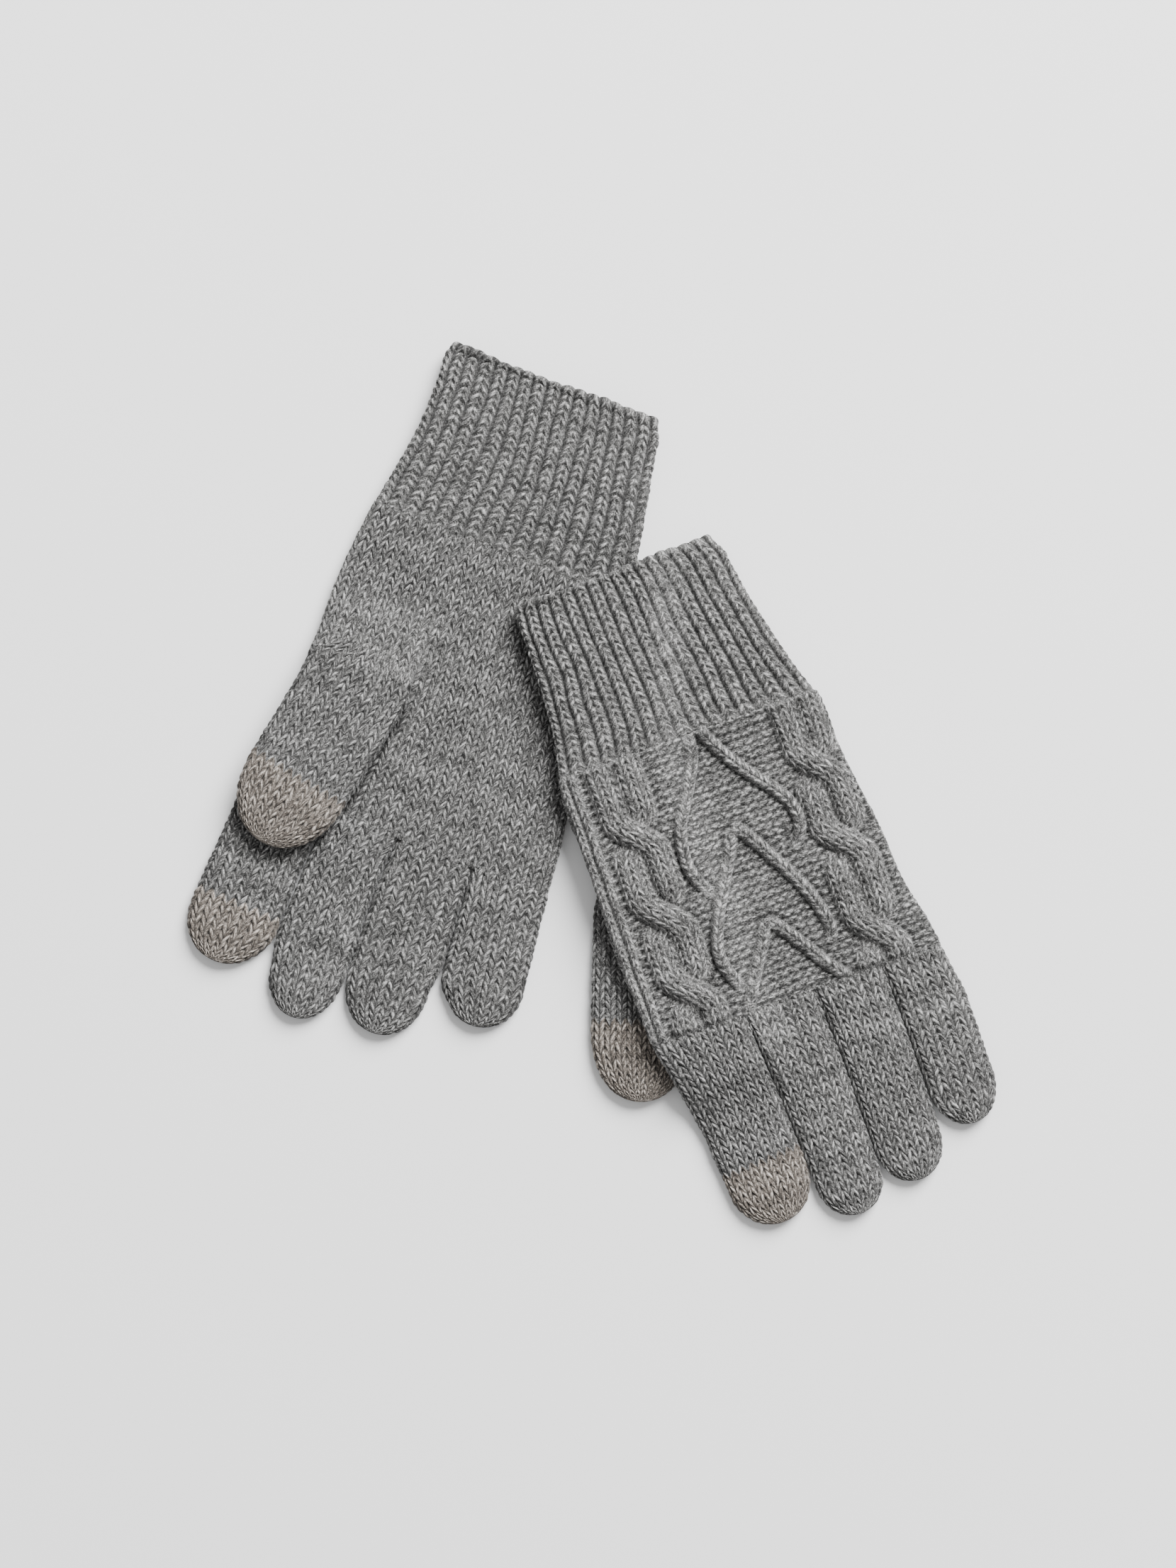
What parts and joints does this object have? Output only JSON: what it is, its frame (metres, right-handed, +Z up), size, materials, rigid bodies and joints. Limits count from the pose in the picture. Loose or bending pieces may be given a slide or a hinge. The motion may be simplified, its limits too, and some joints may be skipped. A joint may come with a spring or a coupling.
{
  "type": "pair of knitted gloves",
  "caption": "Pair of knitted five-finger gloves lying flat, one over the other, with ribbed cuffs, a cabled back and contrast touch tips that fold and swing.",
  "frame": {"origin": "middle of the pair's bounding box, on the surface the gloves lie on", "axes": "+Z up from the surface, +Y towards the top of the layout, where the cuff of the lower glove points"},
  "size_m": [0.2782, 0.3045, 0.0164],
  "materials": {
    "grey_knit": "heather grey knitted yarn, matt",
    "grey_rib": "heather grey ribbed knit, matt",
    "taupe_tip": "taupe conductive knitted yarn, matt"
  },
  "bodies": {
    "right_hand": {"right_cuff": "grey_rib", "right_cuff_welt": "grey_rib", "right_palm": "grey_knit", "right_back": "grey_knit", "right_thumb_gusset": "grey_knit", "right_index_base": "grey_knit", "right_middle_base": "grey_knit", "right_ring_base": "grey_knit", "right_little_base": "grey_knit"},
    "right_thumb": {"right_thumb": "grey_knit", "right_thumb_tip": "taupe_tip"},
    "right_index": {"right_index": "grey_knit", "right_index_tip": "taupe_tip"},
    "right_middle": {"right_middle": "grey_knit"},
    "right_ring": {"right_ring": "grey_knit"},
    "right_little": {"right_little": "grey_knit"},
    "left_hand": {"left_cuff": "grey_rib", "left_cuff_welt": "grey_rib", "left_palm": "grey_knit", "left_back": "grey_knit", "left_thumb_gusset": "grey_knit", "left_index_base": "grey_knit", "left_middle_base": "grey_knit", "left_ring_base": "grey_knit", "left_little_base": "grey_knit"},
    "left_thumb": {"left_thumb": "grey_knit", "left_thumb_tip": "taupe_tip"},
    "left_index": {"left_index": "grey_knit", "left_index_tip": "taupe_tip"},
    "left_middle": {"left_middle": "grey_knit"},
    "left_ring": {"left_ring": "grey_knit"},
    "left_little": {"left_little": "grey_knit"}
  },
  "joints": [
    {"name": "left_glove_lift", "type": "slide", "parent": "right_hand", "child": "left_hand", "axis": [0, 0, 1], "range_m": [0, 0.12]},
    {"name": "right_index_fold", "type": "hinge", "parent": "right_hand", "child": "right_index", "pos_m": [-0.11461, -0.02652, 0.0028], "axis": [-0.9157, 0.4019, 0], "range_deg": [0, 90]},
    {"name": "right_middle_fold", "type": "hinge", "parent": "right_hand", "child": "right_middle", "pos_m": [-0.08665, -0.03334, 0.0028], "axis": [-0.9472, 0.3206, 0], "range_deg": [0, 90]},
    {"name": "right_ring_fold", "type": "hinge", "parent": "right_hand", "child": "right_ring", "pos_m": [-0.0598, -0.03972, 0.0028], "axis": [-0.95, 0.3123, 0], "range_deg": [0, 90]},
    {"name": "right_little_fold", "type": "hinge", "parent": "right_hand", "child": "right_little", "pos_m": [-0.02953, -0.041, 0.0028], "axis": [-0.9715, 0.2368, 0], "range_deg": [0, 90]},
    {"name": "left_index_fold", "type": "hinge", "parent": "left_hand", "child": "left_index", "pos_m": [0.05203, -0.11686, 0.0028], "axis": [-0.9198, -0.3923, 0], "range_deg": [0, 90]},
    {"name": "left_middle_fold", "type": "hinge", "parent": "left_hand", "child": "left_middle", "pos_m": [0.07664, -0.10491, 0.0028], "axis": [-0.9385, -0.3453, 0], "range_deg": [0, 90]},
    {"name": "left_ring_fold", "type": "hinge", "parent": "left_hand", "child": "left_ring", "pos_m": [0.09829, -0.09296, 0.0028], "axis": [-0.9489, -0.3156, 0], "range_deg": [0, 90]},
    {"name": "left_little_fold", "type": "hinge", "parent": "left_hand", "child": "left_little", "pos_m": [0.11726, -0.07559, 0.0028], "axis": [-0.9449, -0.3272, 0], "range_deg": [0, 90]},
    {"name": "right_thumb_fold", "type": "hinge", "parent": "right_hand", "child": "right_thumb", "pos_m": [-0.07851, 0.03661, 0.0091], "axis": [-0.8545, 0.5195, 0], "range_deg": [0, 90]},
    {"name": "left_thumb_swing", "type": "hinge", "parent": "left_hand", "child": "left_thumb", "pos_m": [0.018, -0.04724, 0.0032], "axis": [0, 0, -1], "range_deg": [-8, 20]}
  ]
}
